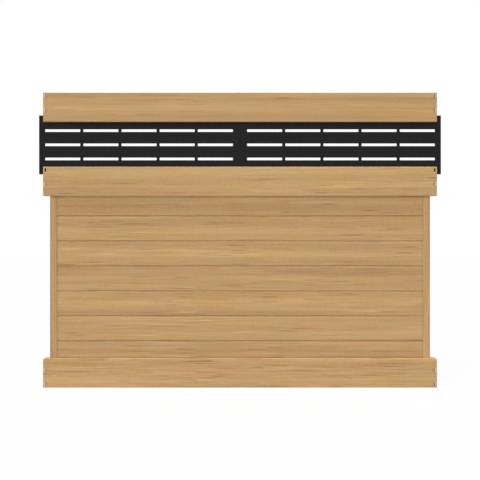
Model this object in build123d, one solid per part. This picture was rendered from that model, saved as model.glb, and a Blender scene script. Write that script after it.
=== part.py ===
from build123d import *
import os

# A vinyl fence panel that hangs between two routed posts: three hollow rails, seven tongue and
# groove boards held at their ends by side channels, and a slotted metal screen above them.
# X runs along the panel, Y through it with the front at -Y, and Z up. The origin is the middle of
# the left side channel's outer face, which bears on the post. All sizes are in millimetres.

# Rails
RAIL_HEIGHT = 177.8
RAIL_DEPTH = 44.5
RAIL_WALL = 2.3
RAIL_CORNER = 3.2
RAIL_WEB = 1.8
RAIL_INTO_POST = 40.2
RAIL_END_CORNER = 9.5
BOARD_POCKET_DEPTH = 48.2
SCREEN_POCKET_DEPTH = 44.4
LIP_LEG = 8.0

# Lock tabs lanced out of the rail walls near each end, which snap behind the post's wall
TAB_FROM_END = 4.0
TAB_LENGTH = 5.6
TAB_RISE = 3.0
TAB_THICKNESS = 1.9
TAB_HEIGHT = 18.5
TAB_ROOT = 1.5
TAB_SIDE_CUT = 0.5
TAB_OPENING = 9.2
TAB_OPENING_CORNER = 1.5
TAB_FROM_EDGE = 20.0
TAB_SPACING = 86.0

# Drain holes through the bottom rail
DRAIN_DIAMETER = 8.0
DRAIN_COUNT = 4

# Boards
BOARD_COUNT = 7
BOARD_THICKNESS = 22.2
BOARD_COVER = 152.4
BOARD_REVEAL = 1.6
BOARD_WALL = 1.5
BOARD_BEVEL = 3.8
BOARD_RIBS = 4
BOARD_PLAY = 0.9
BOARD_END_PLAY = 2.0
TONGUE_WIDTH = 9.2
TONGUE_PLAY = 0.6
TONGUE_TIP_PLAY = 0.2
GROOVE_DEPTH = 9.0
TOP_BOARD_IN_POCKET = 29.0

# Side channels
CLEAR_WIDTH = 2314.6
CHANNEL_LEG = 42.6
CHANNEL_WALL = 2.4
CHANNEL_CORNER = 1.6
CHANNEL_LIP_CORNER = 1.8
CHANNEL_PLAY = 1.6
CHANNEL_TOP_PLAY = 2.5

# Slotted screen, a sheet with a flange folded back along its top and bottom
SCREEN_OPENING = 272.7
SCREEN_HEIGHT = 357.6
SCREEN_SHEET = 1.6
SCREEN_BEND = 2.4
SCREEN_PAST_RAIL = 27.0
SLOT_ROWS = 3
SLOTS_PER_HALF = 5
SLOT_HEIGHT = 15.6
SLOT_CORNER = 3.0
SLOT_ROW_PITCH = 86.3
SLOT_GAP = 18.9
END_MARGIN = 37.2
CENTRE_STRIP = 86.9

# Steel stiffener inside the bottom rail
STIFFENER_SHEET = 1.5
STIFFENER_LEG = 48.0
STIFFENER_PLAY = 0.6
STIFFENER_SHORT = 30.0

# Worked out from the sizes above
BOARD_HEIGHT = BOARD_COVER - BOARD_REVEAL
TONGUE_HEIGHT = GROOVE_DEPTH + BOARD_REVEAL - TONGUE_TIP_PLAY
BOARD_STACK = BOARD_COUNT * BOARD_COVER - BOARD_REVEAL
BOARD_OPENING = BOARD_STACK - BOARD_POCKET_DEPTH - TOP_BOARD_IN_POCKET
MOUTH = BOARD_THICKNESS + 2 * BOARD_PLAY
CHANNEL_DEPTH = BOARD_THICKNESS + 2 * (CHANNEL_PLAY + CHANNEL_WALL)
RAIL_LENGTH = CLEAR_WIDTH + 2 * RAIL_INTO_POST
BOARD_LENGTH = CLEAR_WIDTH - 2 * (CHANNEL_WALL + BOARD_END_PLAY)
SCREEN_LENGTH = RAIL_LENGTH + 2 * SCREEN_PAST_RAIL
SLOT_ROOM = (SCREEN_LENGTH - CENTRE_STRIP) / 2 - END_MARGIN
SLOT_LENGTH = (SLOT_ROOM - (SLOTS_PER_HALF - 1) * SLOT_GAP) / SLOTS_PER_HALF
MIDDLE_X = CLEAR_WIDTH / 2
INNER_DEPTH = RAIL_DEPTH - 2 * RAIL_WALL
BOTTOM_RAIL_Z = -(BOARD_OPENING + RAIL_HEIGHT) / 2
MID_RAIL_Z = (BOARD_OPENING + RAIL_HEIGHT) / 2
TOP_RAIL_Z = MID_RAIL_Z + RAIL_HEIGHT + SCREEN_OPENING


def pair(distance):
    """The same distance to both sides of the middle."""
    return (-distance, distance)


def rail_section(pockets, web_z):
    """A thin-walled rail seen from its end. Pockets gives the depth of each one, down (-1) or up (1)."""
    with BuildSketch(Plane.YZ) as section:
        RectangleRounded(RAIL_DEPTH, RAIL_HEIGHT, RAIL_CORNER)
        Rectangle(INNER_DEPTH, RAIL_HEIGHT - 2 * RAIL_WALL, mode=Mode.SUBTRACT)
        for side, depth in pockets.items():
            edge = side * RAIL_HEIGHT / 2
            with Locations((0, edge)):
                Rectangle(MOUTH, 3 * RAIL_WALL, mode=Mode.SUBTRACT)
            with Locations(*[(y, edge - side * LIP_LEG / 2) for y in pair((MOUTH + RAIL_WALL) / 2)]):
                Rectangle(RAIL_WALL, LIP_LEG)
            with Locations((0, edge - side * (depth + RAIL_WEB / 2))):
                Rectangle(INNER_DEPTH + RAIL_WALL, RAIL_WEB)
        with Locations((0, web_z)):
            Rectangle(INNER_DEPTH + RAIL_WALL, RAIL_WEB)
    return section.sketch


def tab_shapes(tab_z):
    """The windows cut for a rail's lock tabs and the tabs themselves, for both ends and both faces."""
    window_from = TAB_FROM_END + TAB_ROOT
    window_to = TAB_FROM_END + TAB_LENGTH + TAB_OPENING
    with BuildSketch(Plane.XZ) as window:
        with Locations(((window_from + window_to) / 2, 0)):
            Rectangle(window_to - window_from, TAB_HEIGHT + 2 * TAB_SIDE_CUT)
        fillet(window.vertices().group_by(Axis.X)[-1], TAB_OPENING_CORNER)
    opening = extrude(window.sketch, amount=RAIL_WALL, both=True)
    with BuildSketch(Plane.XY) as leaf:
        with BuildLine():
            Polyline(
                (TAB_FROM_END, 0),
                (TAB_FROM_END + TAB_LENGTH, -TAB_RISE),
                (TAB_FROM_END + TAB_LENGTH, TAB_THICKNESS - TAB_RISE),
                (TAB_FROM_END, TAB_THICKNESS),
                close=True,
            )
        make_face()
    tab = extrude(leaf.sketch, amount=TAB_HEIGHT / 2, both=True)
    windows = []
    tabs = []
    for z in tab_z:
        for shape, found in ((opening, windows), (tab, tabs)):
            front_left = Pos(-RAIL_LENGTH / 2, -RAIL_DEPTH / 2, z) * shape
            front = [front_left, mirror(front_left, Plane.YZ)]
            found += front + [mirror(one, Plane.XZ) for one in front]
    return windows, tabs


def rail(pockets, web_z, tab_edge):
    """A rail about its own middle. Its tabs are measured from the edge that tab_edge points at."""
    body = extrude(rail_section(pockets, web_z), amount=RAIL_LENGTH / 2, both=True)
    first = RAIL_HEIGHT / 2 - TAB_FROM_EDGE
    windows, tabs = tab_shapes([tab_edge * first, tab_edge * (first - TAB_SPACING)])
    return body - windows + tabs


def bottom_rail():
    """The lowest rail, with its top corners rounded at the ends and drain holes."""
    body = rail({1: BOARD_POCKET_DEPTH}, -BOARD_POCKET_DEPTH / 2, -1)
    with BuildSketch(Plane.XZ) as corner:
        with Locations((-RAIL_LENGTH / 2, RAIL_HEIGHT / 2)):
            Rectangle(2 * RAIL_END_CORNER, 2 * RAIL_END_CORNER)
        with Locations((-RAIL_LENGTH / 2 + RAIL_END_CORNER, RAIL_HEIGHT / 2 - RAIL_END_CORNER)):
            Circle(RAIL_END_CORNER, mode=Mode.SUBTRACT)
    cut = extrude(corner.sketch, amount=RAIL_DEPTH, both=True)
    body -= [cut, mirror(cut, Plane.YZ)]
    spacing = RAIL_LENGTH / DRAIN_COUNT
    with BuildSketch(Plane.XY) as drains:
        with GridLocations(spacing, 1, DRAIN_COUNT, 1):
            Circle(DRAIN_DIAMETER / 2)
    drill = extrude(drains.sketch, amount=2 * RAIL_WALL, both=True)
    for height in (-RAIL_HEIGHT / 2, RAIL_HEIGHT / 2 - BOARD_POCKET_DEPTH):
        body -= Pos(0, 0, height) * drill
    return body


def board():
    """A hollow board from its lower edge up. Its tongue carries the groove of the board above."""
    half = BOARD_THICKNESS / 2
    tongue = TONGUE_WIDTH / 2
    groove = tongue + TONGUE_PLAY
    outline = [
        (groove, GROOVE_DEPTH),
        (groove, 0),
        (half - BOARD_BEVEL, 0),
        (half, BOARD_BEVEL),
        (half, BOARD_HEIGHT - BOARD_BEVEL),
        (half - BOARD_BEVEL, BOARD_HEIGHT),
        (tongue, BOARD_HEIGHT),
        (tongue, BOARD_HEIGHT + TONGUE_HEIGHT),
    ]
    mirrored = [(-y, z) for y, z in reversed(outline)]
    with BuildSketch(Plane.YZ) as section:
        with BuildLine():
            Polyline(*outline, *mirrored, close=True)
        make_face()
        with BuildSketch(mode=Mode.SUBTRACT):
            add(offset(section.sketch, amount=-BOARD_WALL, kind=Kind.INTERSECTION))
            spacing = (BOARD_HEIGHT - GROOVE_DEPTH) / (BOARD_RIBS + 1)
            with Locations(*[(0, GROOVE_DEPTH + spacing * (rib + 1)) for rib in range(BOARD_RIBS)]):
                Rectangle(BOARD_THICKNESS, BOARD_WALL, mode=Mode.SUBTRACT)
    return extrude(section.sketch, amount=BOARD_LENGTH / 2, both=True)


def channel():
    """The left side channel, open towards the boards, standing on the bottom rail."""
    height = BOARD_OPENING - CHANNEL_TOP_PLAY
    with BuildSketch(Plane.XY) as section:
        with Locations((CHANNEL_LEG / 2, 0)):
            Rectangle(CHANNEL_LEG, CHANNEL_DEPTH)
        fillet(section.vertices().group_by(Axis.X)[0], CHANNEL_CORNER)
        fillet(section.vertices().group_by(Axis.X)[-1], CHANNEL_LIP_CORNER)
        with Locations((CHANNEL_WALL + CHANNEL_LEG / 2, 0)):
            Rectangle(CHANNEL_LEG, CHANNEL_DEPTH - 2 * CHANNEL_WALL, mode=Mode.SUBTRACT)
    return Pos(0, 0, -BOARD_OPENING / 2) * extrude(section.sketch, amount=height)


def top_screen():
    """The slotted sheet about its own middle, with its flanges folded back."""
    half = BOARD_THICKNESS / 2
    with BuildSketch(Plane.YZ) as section:
        Rectangle(BOARD_THICKNESS, SCREEN_HEIGHT)
        fillet(section.vertices().group_by(Axis.Y)[0], SCREEN_BEND)
        with BuildSketch(mode=Mode.SUBTRACT) as inside:
            with Locations((SCREEN_SHEET, 0)):
                Rectangle(BOARD_THICKNESS, SCREEN_HEIGHT - 2 * SCREEN_SHEET)
            fillet(inside.vertices().group_by(Axis.X)[0], SCREEN_BEND - SCREEN_SHEET)
    sheet = extrude(section.sketch, amount=SCREEN_LENGTH / 2, both=True)
    pitch = SLOT_LENGTH + SLOT_GAP
    with BuildSketch(Plane.XZ) as slots:
        for side in (-1, 1):
            middle = side * (CENTRE_STRIP / 2 + SLOT_ROOM / 2)
            with Locations((middle, 0)):
                with GridLocations(pitch, SLOT_ROW_PITCH, SLOTS_PER_HALF, SLOT_ROWS):
                    RectangleRounded(SLOT_LENGTH, SLOT_HEIGHT, SLOT_CORNER)
    punched = Pos(0, -half, 0) * extrude(slots.sketch, amount=2 * SCREEN_SHEET, both=True)
    return sheet - punched


def stiffener():
    """The steel channel in the bottom rail, open upwards, about the rail's middle."""
    width = INNER_DEPTH - 2 * STIFFENER_PLAY
    floor = -RAIL_HEIGHT / 2 + RAIL_WALL
    with BuildSketch(Plane.YZ) as section:
        with Locations((0, floor + STIFFENER_LEG / 2)):
            Rectangle(width, STIFFENER_LEG)
        with Locations((0, floor + STIFFENER_LEG / 2 + STIFFENER_SHEET)):
            Rectangle(width - 2 * STIFFENER_SHEET, STIFFENER_LEG, mode=Mode.SUBTRACT)
    return extrude(section.sketch, amount=RAIL_LENGTH / 2 - STIFFENER_SHORT, both=True)


def save(name, shape, x, z):
    """Moves a piece to its place on the panel and writes its file."""
    export_step(Pos(x, 0, z) * shape, f"parts/{name}.step")


os.makedirs("parts", exist_ok=True)

mid_pockets = {-1: BOARD_POCKET_DEPTH, 1: SCREEN_POCKET_DEPTH}
save("bottom_rail", bottom_rail(), MIDDLE_X, BOTTOM_RAIL_Z)
save("bottom_rail_stiffener", stiffener(), MIDDLE_X, BOTTOM_RAIL_Z)
save("mid_rail", rail(mid_pockets, 0, 1), MIDDLE_X, MID_RAIL_Z)
save("top_rail", rail({-1: SCREEN_POCKET_DEPTH}, SCREEN_POCKET_DEPTH / 2, 1), MIDDLE_X, TOP_RAIL_Z)

first_board_z = -BOARD_OPENING / 2 - BOARD_POCKET_DEPTH
for number in range(BOARD_COUNT):
    save(f"board_{number + 1}", board(), MIDDLE_X, first_board_z + number * BOARD_COVER)

save("left_channel", channel(), 0, 0)
save("right_channel", mirror(channel(), Plane.YZ), CLEAR_WIDTH, 0)

screen_z = MID_RAIL_Z + RAIL_HEIGHT / 2 - SCREEN_POCKET_DEPTH + SCREEN_HEIGHT / 2
save("top_screen", top_screen(), MIDDLE_X, screen_z)
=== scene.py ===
import math

import bmesh
import bpy
from bpy.props import FloatProperty, FloatVectorProperty, PointerProperty
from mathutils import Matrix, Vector


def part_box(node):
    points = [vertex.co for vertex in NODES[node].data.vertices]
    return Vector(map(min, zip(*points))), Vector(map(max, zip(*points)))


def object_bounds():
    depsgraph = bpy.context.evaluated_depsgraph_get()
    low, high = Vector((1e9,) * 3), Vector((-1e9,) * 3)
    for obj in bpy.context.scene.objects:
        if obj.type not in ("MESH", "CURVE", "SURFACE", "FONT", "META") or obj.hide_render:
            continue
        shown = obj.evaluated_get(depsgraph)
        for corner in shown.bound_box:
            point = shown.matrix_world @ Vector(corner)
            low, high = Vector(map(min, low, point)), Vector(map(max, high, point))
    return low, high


bl_info = {
    "name": "Vinyl Fence Panel",
    "version": (1, 0, 0),
    "blender": (4, 5, 0),
    "location": "View3D > Sidebar > Fence Panel",
    "description": "Wood-grain vinyl, black powder coat, zinc coated steel and a studio for a fence panel",
    "category": "Material",
}

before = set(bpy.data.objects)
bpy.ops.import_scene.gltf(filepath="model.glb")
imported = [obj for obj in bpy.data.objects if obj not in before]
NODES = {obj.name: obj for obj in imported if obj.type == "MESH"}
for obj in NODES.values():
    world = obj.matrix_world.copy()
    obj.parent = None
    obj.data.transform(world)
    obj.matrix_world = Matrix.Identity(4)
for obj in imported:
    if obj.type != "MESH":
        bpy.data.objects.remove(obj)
cad_box = [list(corner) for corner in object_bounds()]
BOARDS = sorted(name for name in NODES if name.startswith("board_"))
RAILS = ["bottom_rail", "mid_rail", "top_rail"]
CHANNELS = ["left_channel", "right_channel"]

# Units, axes and sizes
MM = 0.001
X, Y, Z = range(3)
RAIL_DEPTH = 44.5 * MM

# For each length of vinyl: where on the print it starts, how much paler or darker it is, and
# how strong its streaks and fibres are; on the top and bottom boards the darker tone is partly painted
# shade
PRINTS = {
    "top_rail": (10.5, 0.0, 0.55),
    "mid_rail": (4.25, 0.03, 0.9),
    "bottom_rail": (25.0, 0.03, 0.95),
    # The top board's darker tone is partly its own print tone, partly painted shade under the mid rail
    "board_7": (27.25, -0.09, 1.0),
    "board_6": (30.0, -0.03, 1.0),
    "board_5": (35.75, -0.02, 1.0),
    "board_4": (11.5, -0.03, 0.8),
    "board_3": (11.25, 0.0, 1.0),
    "board_2": (8.0, -0.03, 0.85),
    # The bottom board's darker tone is partly its own print tone, partly painted shade above the bottom
    # rail
    "board_1": (19.75, -0.10, 1.0),
    "left_channel": (6.5, -0.04, 1.0),
    "right_channel": (24.75, -0.03, 1.0),
}
# How far along and across the print a start of 1 lies from one of 0, in metres
START_ALONG = 7.31
START_ACROSS = 1.73
# The print's middle brightness, where 0 is its dark grain and 1 its pale grain
MIDDLE = 0.42
# The depth over which the grain's wandering changes through the vinyl
SWAY_DEPTH = 90 * MM
# Where noise from 0 to 1 begins to make a mark, and where it makes the whole mark
DARK_DASHES = (0.63, 0.75)
PALE_DASHES = (0.65, 0.78)
PORES = (0.56, 0.70)
LIVELY_AREAS = (0.34, 0.68)
PATCHES = (0.36, 0.64)
# How much finer noise a layer has in it
SMOOTH = 1.0
UNEVEN = 2.0
ROUGH = 3.0
# Layers of the same shape are read this far apart, so that they differ
PALE_SHIFT = 9.0
LIVELY_SHIFT = 5.0
OLIVE_SHIFT = 3.0
YELLOW_SHIFT = 13.0
# How much of its streaks a calm area shows, and how much more of them a lively one
CALM_LIFE = 0.3
LIVELY_LIFE = 1.2
# The share of the surface that pores take up
PORE_SHARE = 0.2
# How much the print yellows in its patches, and how much as its ground gets paler
PATCH_YELLOW = 0.8
GROUND_YELLOW = 2.2
# The emboss runs from 0 to 1: its plain level, how much fibres rise, and how much marks sink
LEVEL = 0.5
FIBRE_RISE = 0.4
PORE_SINK = 0.6
DASH_SINK = 0.4
# How far in from their outer sides the print goes: through no wall, and past a board's bevels
EDGE_PRINT = 0.5 * MM
WALL_PRINT = 2 * MM
BOARD_PRINT = 5 * MM
# A face is a cut end where more than this share of its direction lies along the grain
CUT_END = 0.9
# Vinyl that stands further out from the front or back than this is a lock tab
TAB_RISE = 0.3 * MM

# The powder coat's darker areas: their width and height in dimples, and how much of its colour stays
AREA_WIDTH = 90
AREA_HEIGHT = 40
DARKER = 0.8

# The studio
WHITE = (1.0, 1.0, 1.0, 1.0)
FLOOR_GREY = (0.70, 0.70, 0.70, 1.0)
# How much plain white the camera sees over the floor's grey
FLOOR_WHITE = 0.88
# How far under the panel the floor lies
FLOOR_GAP = 2 * MM
# A sun lamp lights alike from any place, so this one only keeps it near the panel
LAMP_PLACE = (0, -3, 4)
SENSOR_WIDTH_IN_MM = 36.0

# A Mix node's sockets share their names, so they are reached by number
MIX_FACTOR = 0
MIX_FIRST = 6
MIX_SECOND = 7
MIX_RESULT = 2


def shade(red, green, blue):
    """A screen colour from 0 to 255 as the linear colour that shaders and properties hold."""
    return [((part / 255 + 0.055) / 1.055) ** 2.4 for part in (red, green, blue)]


def opaque(colour):
    return (*colour, 1.0)


# Shader sums


class Value:
    """A shader socket that takes part in Python sums."""

    def __init__(self, shader, socket):
        self.shader = shader
        self.socket = socket

    def sum(self, operation, first, second):
        return self.shader.node("ShaderNodeMath", {"operation": operation}, {0: first, 1: second})

    def __add__(self, other):
        return self.sum("ADD", self, other)

    __radd__ = __add__

    def __sub__(self, other):
        return self.sum("SUBTRACT", self, other)

    def __rsub__(self, other):
        return self.sum("SUBTRACT", other, self)

    def __mul__(self, other):
        return self.sum("MULTIPLY", self, other)

    __rmul__ = __mul__

    def __truediv__(self, other):
        return self.sum("DIVIDE", self, other)

    def __gt__(self, other):
        return self.sum("GREATER_THAN", self, other)

    def __lt__(self, other):
        return self.sum("LESS_THAN", self, other)

    def __abs__(self):
        return self.sum("ABSOLUTE", self, 0.0)

    def or_more(self, other):
        return self.sum("MAXIMUM", self, other)


class Shader:
    """The node tree of a material or a world, built one node at a time."""

    def __init__(self, owner):
        owner.use_nodes = True
        self.owner = owner
        self.tree = owner.node_tree
        self.tree.nodes.clear()

    def node(self, kind, settings=None, inputs=None, output=0):
        """Adds a node. Its settings are set first, then the values or links of its sockets."""
        made = self.tree.nodes.new(kind)
        for key, value in (settings or {}).items():
            setattr(made, key, value)
        for key, value in (inputs or {}).items():
            if isinstance(value, Value):
                self.tree.links.new(value.socket, made.inputs[key])
            else:
                made.inputs[key].default_value = value
        return Value(self, made.outputs[output])

    def parts(self, vector):
        """The X, Y and Z of a vector as three values."""
        first = self.node("ShaderNodeSeparateXYZ", None, {"Vector": vector})
        return [Value(self, first.socket.node.outputs[axis]) for axis in (X, Y, Z)]

    def place(self):
        """Object coordinates in metres, as three values."""
        return self.parts(self.node("ShaderNodeTexCoord", output="Object"))

    def facing(self):
        """The way the surface faces, as three values."""
        return self.parts(self.node("ShaderNodeNewGeometry", output="Normal"))

    def noise(self, x, y, z, detail=UNEVEN):
        """Noise from 0 to 1 that changes over about one unit of x, y and z."""
        at = self.node("ShaderNodeCombineXYZ", None, {"X": x, "Y": y, "Z": z})
        return self.node("ShaderNodeTexNoise", None, {"Vector": at, "Scale": 1.0, "Detail": detail}, "Fac")

    def step(self, value, low, high):
        """A smooth rise from 0 to 1 as value goes from low to high."""
        inputs = {"Value": value, "From Min": low, "From Max": high}
        return self.node("ShaderNodeMapRange", {"interpolation_type": "SMOOTHSTEP"}, inputs)

    def blend(self, factor, first, second, kind="MIX"):
        """A mix of two colours, or with MULTIPLY the first seen through the second."""
        settings = {"data_type": "RGBA", "blend_type": kind}
        inputs = {MIX_FACTOR: factor, MIX_FIRST: first, MIX_SECOND: second}
        return self.node("ShaderNodeMix", settings, inputs, MIX_RESULT)

    def bump(self, height, depth):
        """The normal for a height from 0 to 1 that stands for a depth in metres."""
        return self.node("ShaderNodeBump", None, {"Strength": 1.0, "Distance": depth, "Height": height})

    def white_to_the_camera(self, lit, white, share):
        """White for the camera and for reflections up to a share, and lit for all other rays."""
        path = self.node("ShaderNodeLightPath").socket.node.outputs
        seen = Value(self, path["Is Camera Ray"])
        for ray in ("Is Glossy Ray", "Is Transmission Ray"):
            seen = seen.or_more(Value(self, path[ray]))
        return self.node("ShaderNodeMixShader", None, {"Fac": seen * share, 1: lit, 2: white})

    def end(self, surface):
        """Sends a shader to the output and returns what now has it."""
        world = isinstance(self.owner, bpy.types.World)
        output = self.tree.nodes.new("ShaderNodeOutputWorld" if world else "ShaderNodeOutputMaterial")
        self.tree.links.new(surface.socket, output.inputs["Surface"])
        return self.owner


# Settings


def distance(name, description, metres):
    return FloatProperty(name=name, description=description, unit="LENGTH", default=metres)


def angle(name, description, degrees):
    return FloatProperty(name=name, description=description, subtype="ANGLE", default=math.radians(degrees))


def amount(name, description, number):
    return FloatProperty(name=name, description=description, default=number)


def tint(name, description, *screen):
    return FloatVectorProperty(name=name, description=description, subtype="COLOR", default=shade(*screen))


class WoodVinyl(bpy.types.PropertyGroup):
    dark: tint("Dark grain", "Colour of the darkest streaks", 152, 113, 68)
    warm: tint("Warm tan", "Reddish ground colour", 192, 151, 106)
    olive: tint("Olive tan", "Greenish ground colour", 187, 153, 107)
    yellow: tint("Yellow print", "Filter that yellows parts of the print", 255, 255, 236)
    pale: tint("Pale grain", "Colour of the palest streaks", 220, 183, 133)
    core: tint("Plain core", "Colour inside the hollows and on cut ends", 202, 168, 126)
    # Paler lock tabs: partly the vinyl's stress whitening, partly a painted highlight on the lit tab ramps
    tab_whitening_and_highlight: tint("Whitened and highlit vinyl", "Colour of the bent lock tabs", 210, 176, 136)
    sway_length: distance("Sway length", "Length over which the grain wanders", 0.60)
    sway_width: distance("Sway width", "Width over which the grain wanders alike", 0.08)
    sway: distance("Sway", "How far the grain wanders", 0.010)
    band_length: distance("Band length", "Length of the broad bands", 5.0)
    band_width: distance("Band width", "Width of the broad bands", 0.040)
    bands: amount("Bands", "Contrast of the broad bands", 0.62)
    cloud_length: distance("Cloud length", "Length of the light and dark clouds", 0.90)
    cloud_width: distance("Cloud width", "Width of the light and dark clouds", 0.060)
    clouds: amount("Clouds", "Contrast of the light and dark clouds", 0.30)
    streak_length: distance("Streak length", "Length of the soft streaks", 0.34)
    streak_width: distance("Streak width", "Width of the soft streaks", 0.012)
    streaks: amount("Streaks", "Contrast of the soft streaks", 0.33)
    fibre_length: distance("Fibre length", "Length of the fine fibres", 0.28)
    fibre_width: distance("Fibre width", "Width of the fine fibres", 0.0030)
    fibres: amount("Fibres", "Contrast of the fine fibres", 0.60)
    dash_length: distance("Dash length", "Length of the dark and pale dashes", 0.26)
    dash_width: distance("Dash width", "Spacing of the dashes across the grain", 0.0060)
    dark_dashes: amount("Dark dashes", "Contrast of the dark dashes", 0.60)
    pale_dashes: amount("Pale dashes", "Contrast of the pale dashes", 0.30)
    calm_length: distance("Calm length", "Length of the calm and the lively areas", 0.40)
    calm_width: distance("Calm width", "Width of the calm and the lively areas", 0.055)
    patch_length: distance("Patch length", "Length of the tinted patches", 0.30)
    patch_width: distance("Patch width", "Width of the tinted patches", 0.085)
    pore_length: distance("Pore length", "Length of the embossed pores", 0.022)
    pore_width: distance("Pore width", "Width of the embossed pores", 0.0011)
    pores: amount("Pores", "Contrast of the embossed pores", 0.34)
    emboss: distance("Emboss depth", "Depth of the embossed grain", 0.00022)


class PowderCoat(bpy.types.PropertyGroup):
    black: tint("Black", "Colour of the coating", 29, 27, 27)
    peel: distance("Peel size", "Size of the coating's fine dimples", 0.0016)
    depth: distance("Peel depth", "Depth of the dimples", 0.00003)


class ZincCoat(bpy.types.PropertyGroup):
    light: tint("Light spangle", "Colour of the lightest zinc crystals", 206, 209, 212)
    dull: tint("Dull spangle", "Colour of the dullest zinc crystals", 164, 168, 173)
    spangle: distance("Spangle size", "Size of the zinc crystals", 0.012)


class Studio(bpy.types.PropertyGroup):
    camera_distance: distance("Camera distance", "From the rails' front to the camera", 4.49)
    camera_height: distance("Camera height", "Above the panel's underside", 0.8977)
    lens: amount("Lens", "Focal length in millimetres", 55.39)
    floor_size: distance("Floor size", "Length and width of the floor", 60.0)
    sky: amount("Sky", "Strength of the even light from all round", 0.28)
    key: amount("Key light", "Strength of the soft light above the front", 1.82)
    key_height: angle("Key height", "Angle of the key light above the floor", 57)
    key_side: angle("Key side", "Angle of the key light to the left of the camera", 20)
    top: amount("Top light", "Strength of the light almost overhead", 1.9)
    top_height: angle("Top height", "Angle of the top light above the floor", 80)
    softness: angle("Softness", "Width of both lights as an angle", 28)


# Finishes


class WoodPrint:
    """The wood print over one length of vinyl: noise in long shapes that follow its grain."""

    def __init__(self, shader, finish, run, through, across, start):
        """Run, through and across are the place along, through and across it, in metres."""
        self.shader = shader
        self.run = run + start * START_ALONG
        self.through = through
        across = across + start * START_ACROSS
        sway = shader.noise(self.run / finish.sway_length, through / SWAY_DEPTH, across / finish.sway_width)
        self.across = across + finish.sway * (sway - 0.5)

    def layer(self, length, width, detail, shift=0.0):
        """Noise from 0 to 1 in shapes of a length and width."""
        run = self.run / length + shift
        across = self.across / width + shift
        return self.shader.noise(run, self.through / width, across, detail)

    def waves(self, length, width, detail):
        """The same from -0.5, dark, to 0.5, pale."""
        return self.layer(length, width, detail) - 0.5

    def marks(self, length, width, detail, limits, shift=0.0):
        """A layer's peaks alone, from 0 at the first limit to 1 at the second."""
        return self.shader.step(self.layer(length, width, detail, shift), *limits)


def print_colour(wood, finish, ground, grain):
    """Dark, tan or pale as the grain goes from 0 to 1, and yellower in patches and on pale ground."""
    shader = wood.shader
    olive = wood.marks(finish.patch_length, finish.patch_width, UNEVEN, PATCHES, OLIVE_SHIFT)
    yellow = wood.marks(finish.patch_length, finish.patch_width, UNEVEN, PATCHES, YELLOW_SHIFT)
    tan = shader.blend(olive, opaque(finish.warm), opaque(finish.olive))
    darkened = shader.blend(1 - 2 * grain, tan, opaque(finish.dark))
    grained = shader.blend(2 * grain - 1, darkened, opaque(finish.pale))
    yellowed = PATCH_YELLOW * yellow + GROUND_YELLOW * (ground - MIDDLE)
    return shader.blend(yellowed, grained, opaque(finish.yellow), "MULTIPLY")


def wood_vinyl(name, finish, along, depth, print_depth):
    """Vinyl of a depth, with its grain along an axis, printed print_depth into its front and back."""
    shader = Shader(bpy.data.materials.new(f"{name}_vinyl"))
    side = Z if along == X else X
    place = shader.place()
    start, tone, strength = PRINTS[name]
    wood = WoodPrint(shader, finish, place[along], place[Y], place[side], start)

    bands = wood.waves(finish.band_length, finish.band_width, SMOOTH)
    clouds = wood.waves(finish.cloud_length, finish.cloud_width, UNEVEN)
    streaks = wood.waves(finish.streak_length, finish.streak_width, UNEVEN)
    fibres = wood.waves(finish.fibre_length, finish.fibre_width, ROUGH)
    dark_dashes = wood.marks(finish.dash_length, finish.dash_width, SMOOTH, DARK_DASHES)
    pale_dashes = wood.marks(finish.dash_length, finish.dash_width, SMOOTH, PALE_DASHES, PALE_SHIFT)
    pores = wood.marks(finish.pore_length, finish.pore_width, SMOOTH, PORES)
    lively = wood.marks(finish.calm_length, finish.calm_width, SMOOTH, LIVELY_AREAS, LIVELY_SHIFT)

    # The ground takes each length's tone, which on the top and bottom boards is partly painted shade
    ground = finish.bands * bands + finish.clouds * clouds + (MIDDLE + tone)
    streaked = finish.streaks * streaks + finish.fibres * fibres
    streaked = streaked - finish.dark_dashes * dark_dashes + finish.pale_dashes * pale_dashes
    life = strength * CALM_LIFE + strength * LIVELY_LIFE * lively
    grain = ground + life * streaked - strength * finish.pores * (pores - PORE_SHARE)

    low, high = (corner[side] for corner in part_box(name))
    outside = (place[side] < low + EDGE_PRINT).or_more(place[side] > high - EDGE_PRINT)
    outside = outside.or_more(abs(place[Y]) > depth / 2 - print_depth)
    plain = (abs(shader.facing()[along]) > CUT_END).or_more(1 - outside)
    skin = shader.blend(plain, print_colour(wood, finish, ground, grain), opaque(finish.core))
    # The lock tabs get the paler tab colour: partly stress whitening, partly a painted highlight
    tabs = abs(place[Y]) > depth / 2 + TAB_RISE
    height = LEVEL + FIBRE_RISE * fibres - PORE_SINK * pores - DASH_SINK * dark_dashes
    surface = shader.node("ShaderNodeBsdfPrincipled", None, {
        "Base Color": shader.blend(tabs, skin, opaque(finish.tab_whitening_and_highlight)),
        "Roughness": 0.42 + 0.14 * pores,
        "Specular IOR Level": 0.4,
        "Normal": shader.bump(height, finish.emboss),
    })
    return shader.end(surface)


def powder_coat(name, finish):
    """Fine satin black with the small dimples of a baked coating."""
    shader = Shader(bpy.data.materials.new(name))
    x, y, z = (axis / finish.peel for axis in shader.place())
    dimples = shader.noise(x, y, z)
    areas = shader.noise(x / AREA_WIDTH, y / AREA_WIDTH, z / AREA_HEIGHT)
    darker = [part * DARKER for part in finish.black]
    surface = shader.node("ShaderNodeBsdfPrincipled", None, {
        "Base Color": shader.blend(areas, opaque(finish.black), opaque(darker)),
        "Roughness": 0.46 + 0.10 * areas,
        "Specular IOR Level": 0.12,
        "Normal": shader.bump(dimples, finish.depth),
    })
    return shader.end(surface)


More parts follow.
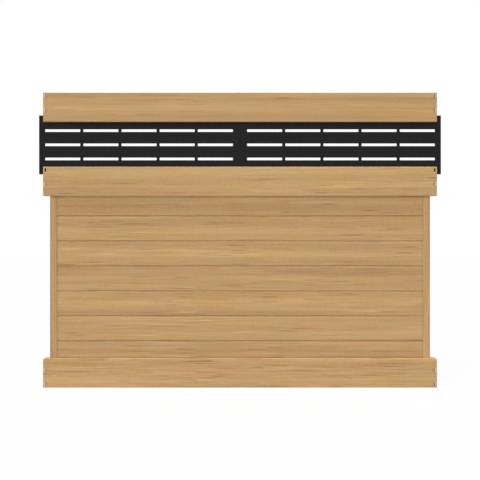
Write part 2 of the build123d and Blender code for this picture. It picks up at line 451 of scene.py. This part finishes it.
def zinc_coat(name, finish):
    """Zinc coated steel with its crystal spangle."""
    shader = Shader(bpy.data.materials.new(name))
    inputs = {"Vector": shader.node("ShaderNodeTexCoord", output="Object"), "Scale": 1 / finish.spangle}
    crystals = shader.node("ShaderNodeTexVoronoi", None, inputs, "Color")
    shine = shader.parts(crystals)[X]
    surface = shader.node("ShaderNodeBsdfPrincipled", None, {
        "Base Color": shader.blend(shine, opaque(finish.dull), opaque(finish.light)),
        "Metallic": 1.0,
        "Roughness": 0.34 + 0.16 * shine,
    })
    return shader.end(surface)


def coat(name, material):
    """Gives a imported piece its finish."""
    slots = NODES[name].data.materials
    slots.clear()
    slots.append(material)


def box_depth(name):
    """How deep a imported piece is, from its front to its back."""
    low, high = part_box(name)
    return high.y - low.y


class FinishRails(bpy.types.Operator):
    """Gives the three rails their wood-grain vinyl"""

    bl_idname = "fence_panel.finish_rails"
    bl_label = "Finish Rails"

    def execute(self, context):
        finish = context.scene.fence_vinyl
        for name in RAILS:
            coat(name, wood_vinyl(name, finish, X, RAIL_DEPTH, WALL_PRINT))
        return {"FINISHED"}


class FinishBoards(bpy.types.Operator):
    """Gives every board its own length of wood-grain vinyl"""

    bl_idname = "fence_panel.finish_boards"
    bl_label = "Finish Boards"

    def execute(self, context):
        finish = context.scene.fence_vinyl
        for name in BOARDS:
            coat(name, wood_vinyl(name, finish, X, box_depth(name), BOARD_PRINT))
        return {"FINISHED"}


class FinishChannels(bpy.types.Operator):
    """Gives the side channels wood-grain vinyl that runs upwards"""

    bl_idname = "fence_panel.finish_channels"
    bl_label = "Finish Side Channels"

    def execute(self, context):
        finish = context.scene.fence_vinyl
        for name in CHANNELS:
            coat(name, wood_vinyl(name, finish, Z, box_depth(name), WALL_PRINT))
        return {"FINISHED"}


class FinishScreen(bpy.types.Operator):
    """Gives the slotted screen its black powder coat"""

    bl_idname = "fence_panel.finish_screen"
    bl_label = "Finish Screen"

    def execute(self, context):
        coat("top_screen", powder_coat("black_powder_coat", context.scene.fence_coating))
        return {"FINISHED"}


class FinishStiffener(bpy.types.Operator):
    """Gives the bottom rail's stiffener its zinc coating"""

    bl_idname = "fence_panel.finish_stiffener"
    bl_label = "Finish Stiffener"

    def execute(self, context):
        coat("bottom_rail_stiffener", zinc_coat("zinc_coated_steel", context.scene.fence_zinc))
        return {"FINISHED"}


# Studio


class SetStage(bpy.types.Operator):
    """Adds the floor, the even sky, two soft lights and the camera"""

    bl_idname = "fence_panel.set_stage"
    bl_label = "Set Stage"

    def place(self, name, data, at, turn):
        made = bpy.data.objects.new(name, data)
        made.location = at
        made.rotation_euler = turn
        bpy.context.scene.collection.objects.link(made)
        return made

    def floor(self, middle, height, size):
        shape = bmesh.new()
        bmesh.ops.create_grid(shape, x_segments=4, y_segments=4, size=size / 2)
        bmesh.ops.translate(shape, verts=shape.verts, vec=Vector((middle.x, middle.y, height)))
        mesh = bpy.data.meshes.new("floor")
        shape.to_mesh(mesh)
        shape.free()
        shader = Shader(bpy.data.materials.new("pale_floor"))
        lit = shader.node("ShaderNodeBsdfDiffuse", None, {"Color": FLOOR_GREY})
        white = shader.node("ShaderNodeEmission", None, {"Color": WHITE, "Strength": 1.0})
        mesh.materials.append(shader.end(shader.white_to_the_camera(lit, white, FLOOR_WHITE)))
        self.place("floor", mesh, (0, 0, 0), (0, 0, 0))

    def sky(self, strength):
        shader = Shader(bpy.data.worlds.new("studio"))
        even = shader.node("ShaderNodeBackground", None, {"Color": WHITE, "Strength": strength})
        white = shader.node("ShaderNodeBackground", None, {"Color": WHITE, "Strength": 1.0})
        bpy.context.scene.world = shader.end(shader.white_to_the_camera(even, white, 1.0))

    def light(self, name, strength, softness, height, side):
        """A far light in front of the panel, at a height above the floor and to the left by side."""
        data = bpy.data.lights.new(name, "SUN")
        data.energy = strength
        data.angle = softness
        self.place(name, data, LAMP_PLACE, (math.pi / 2 - height, 0, -side))

    def camera(self, middle, low, studio):
        data = bpy.data.cameras.new("camera")
        data.lens = studio.lens
        data.sensor_width = SENSOR_WIDTH_IN_MM
        at = (middle.x, -RAIL_DEPTH / 2 - studio.camera_distance, low.z + studio.camera_height)
        bpy.context.scene.camera = self.place("camera", data, at, (math.pi / 2, 0, 0))

    def execute(self, context):
        studio = context.scene.fence_studio
        low, high = (Vector(corner) for corner in cad_box)
        middle = (low + high) / 2
        self.floor(middle, low.z - FLOOR_GAP, studio.floor_size)
        self.sky(studio.sky)
        self.light("key_light", studio.key, studio.softness, studio.key_height, studio.key_side)
        self.light("top_light", studio.top, studio.softness, studio.top_height, 0)
        self.camera(middle, low, studio)
        context.scene.view_settings.view_transform = "Standard"
        return {"FINISHED"}


# Sidebar


class FencePanelSidebar(bpy.types.Panel):
    bl_label = "Fence Panel"
    bl_idname = "VIEW3D_PT_fence_panel"
    bl_space_type = "VIEW_3D"
    bl_region_type = "UI"
    bl_category = "Fence Panel"

    def draw(self, context):
        for operator in OPERATORS:
            self.layout.operator(operator.bl_idname)


SETTINGS = {
    "fence_vinyl": WoodVinyl,
    "fence_coating": PowderCoat,
    "fence_zinc": ZincCoat,
    "fence_studio": Studio,
}
OPERATORS = [FinishRails, FinishBoards, FinishChannels, FinishScreen, FinishStiffener, SetStage]


def register():
    for cls in (*SETTINGS.values(), *OPERATORS, FencePanelSidebar):
        bpy.utils.register_class(cls)
    for name, group in SETTINGS.items():
        setattr(bpy.types.Scene, name, PointerProperty(type=group))


def unregister():
    for name in SETTINGS:
        delattr(bpy.types.Scene, name)
    for cls in (FencePanelSidebar, *OPERATORS, *SETTINGS.values()):
        bpy.utils.unregister_class(cls)


def main():
    register()
    bpy.ops.fence_panel.finish_rails()
    bpy.ops.fence_panel.finish_boards()
    bpy.ops.fence_panel.finish_channels()
    bpy.ops.fence_panel.finish_screen()
    bpy.ops.fence_panel.finish_stiffener()
    bpy.ops.fence_panel.set_stage()


if __name__ == "__main__":
    main()
